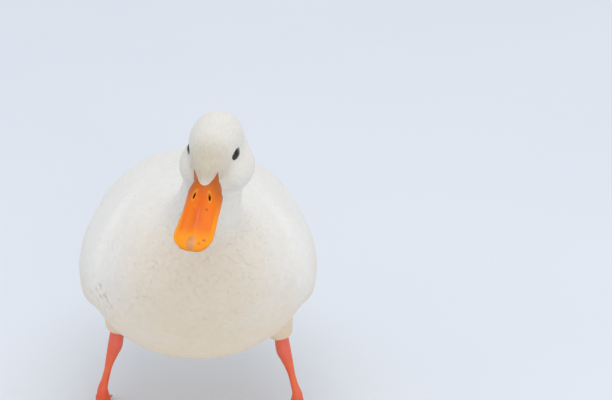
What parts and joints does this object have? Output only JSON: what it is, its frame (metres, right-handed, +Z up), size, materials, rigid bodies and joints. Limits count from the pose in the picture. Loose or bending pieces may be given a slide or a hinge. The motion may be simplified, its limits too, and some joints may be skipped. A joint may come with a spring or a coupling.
{
  "type": "white domestic duck",
  "caption": "Life-size white domestic duck that stands on two webbed feet with folded wings, drawn-in neck and its head lowered to look ahead; a still display model.",
  "frame": {"origin": "on the floor under the middle of the bounding box", "axes": "+Z up, -Y the way the duck faces, +X its left side"},
  "size_m": [0.2466, 0.5098, 0.3451],
  "materials": {
    "plumage": "white contour feathers lying one over the next, with a soft matt sheen and a creamy tint on the lower breast",
    "bill": "smooth orange skin with a satin gloss, yellower at its rim and tip",
    "nail": "pale horn with a satin gloss",
    "leg": "red-orange scaled skin with a satin gloss",
    "claw": "pale brown horn",
    "eye": "wet, almost black dark blue-grey eye"
  },
  "bodies": {
    "root": {"bill_lower": "bill", "bill_nail": "nail", "bill_upper": "bill", "claw_left_hind": "claw", "claw_left_inner": "claw", "claw_left_middle": "claw", "claw_left_outer": "claw", "claw_right_hind": "claw", "claw_right_inner": "claw", "claw_right_middle": "claw", "claw_right_outer": "claw", "eye_left": "eye", "eye_right": "eye", "foot_left": "leg", "foot_right": "leg", "head": "plumage", "neck": "plumage", "shank_left": "leg", "shank_right": "leg", "tail": "plumage", "thigh_left": "plumage", "thigh_right": "plumage", "torso": "plumage", "wing_left": "plumage", "wing_right": "plumage"}
  },
  "joints": []
}
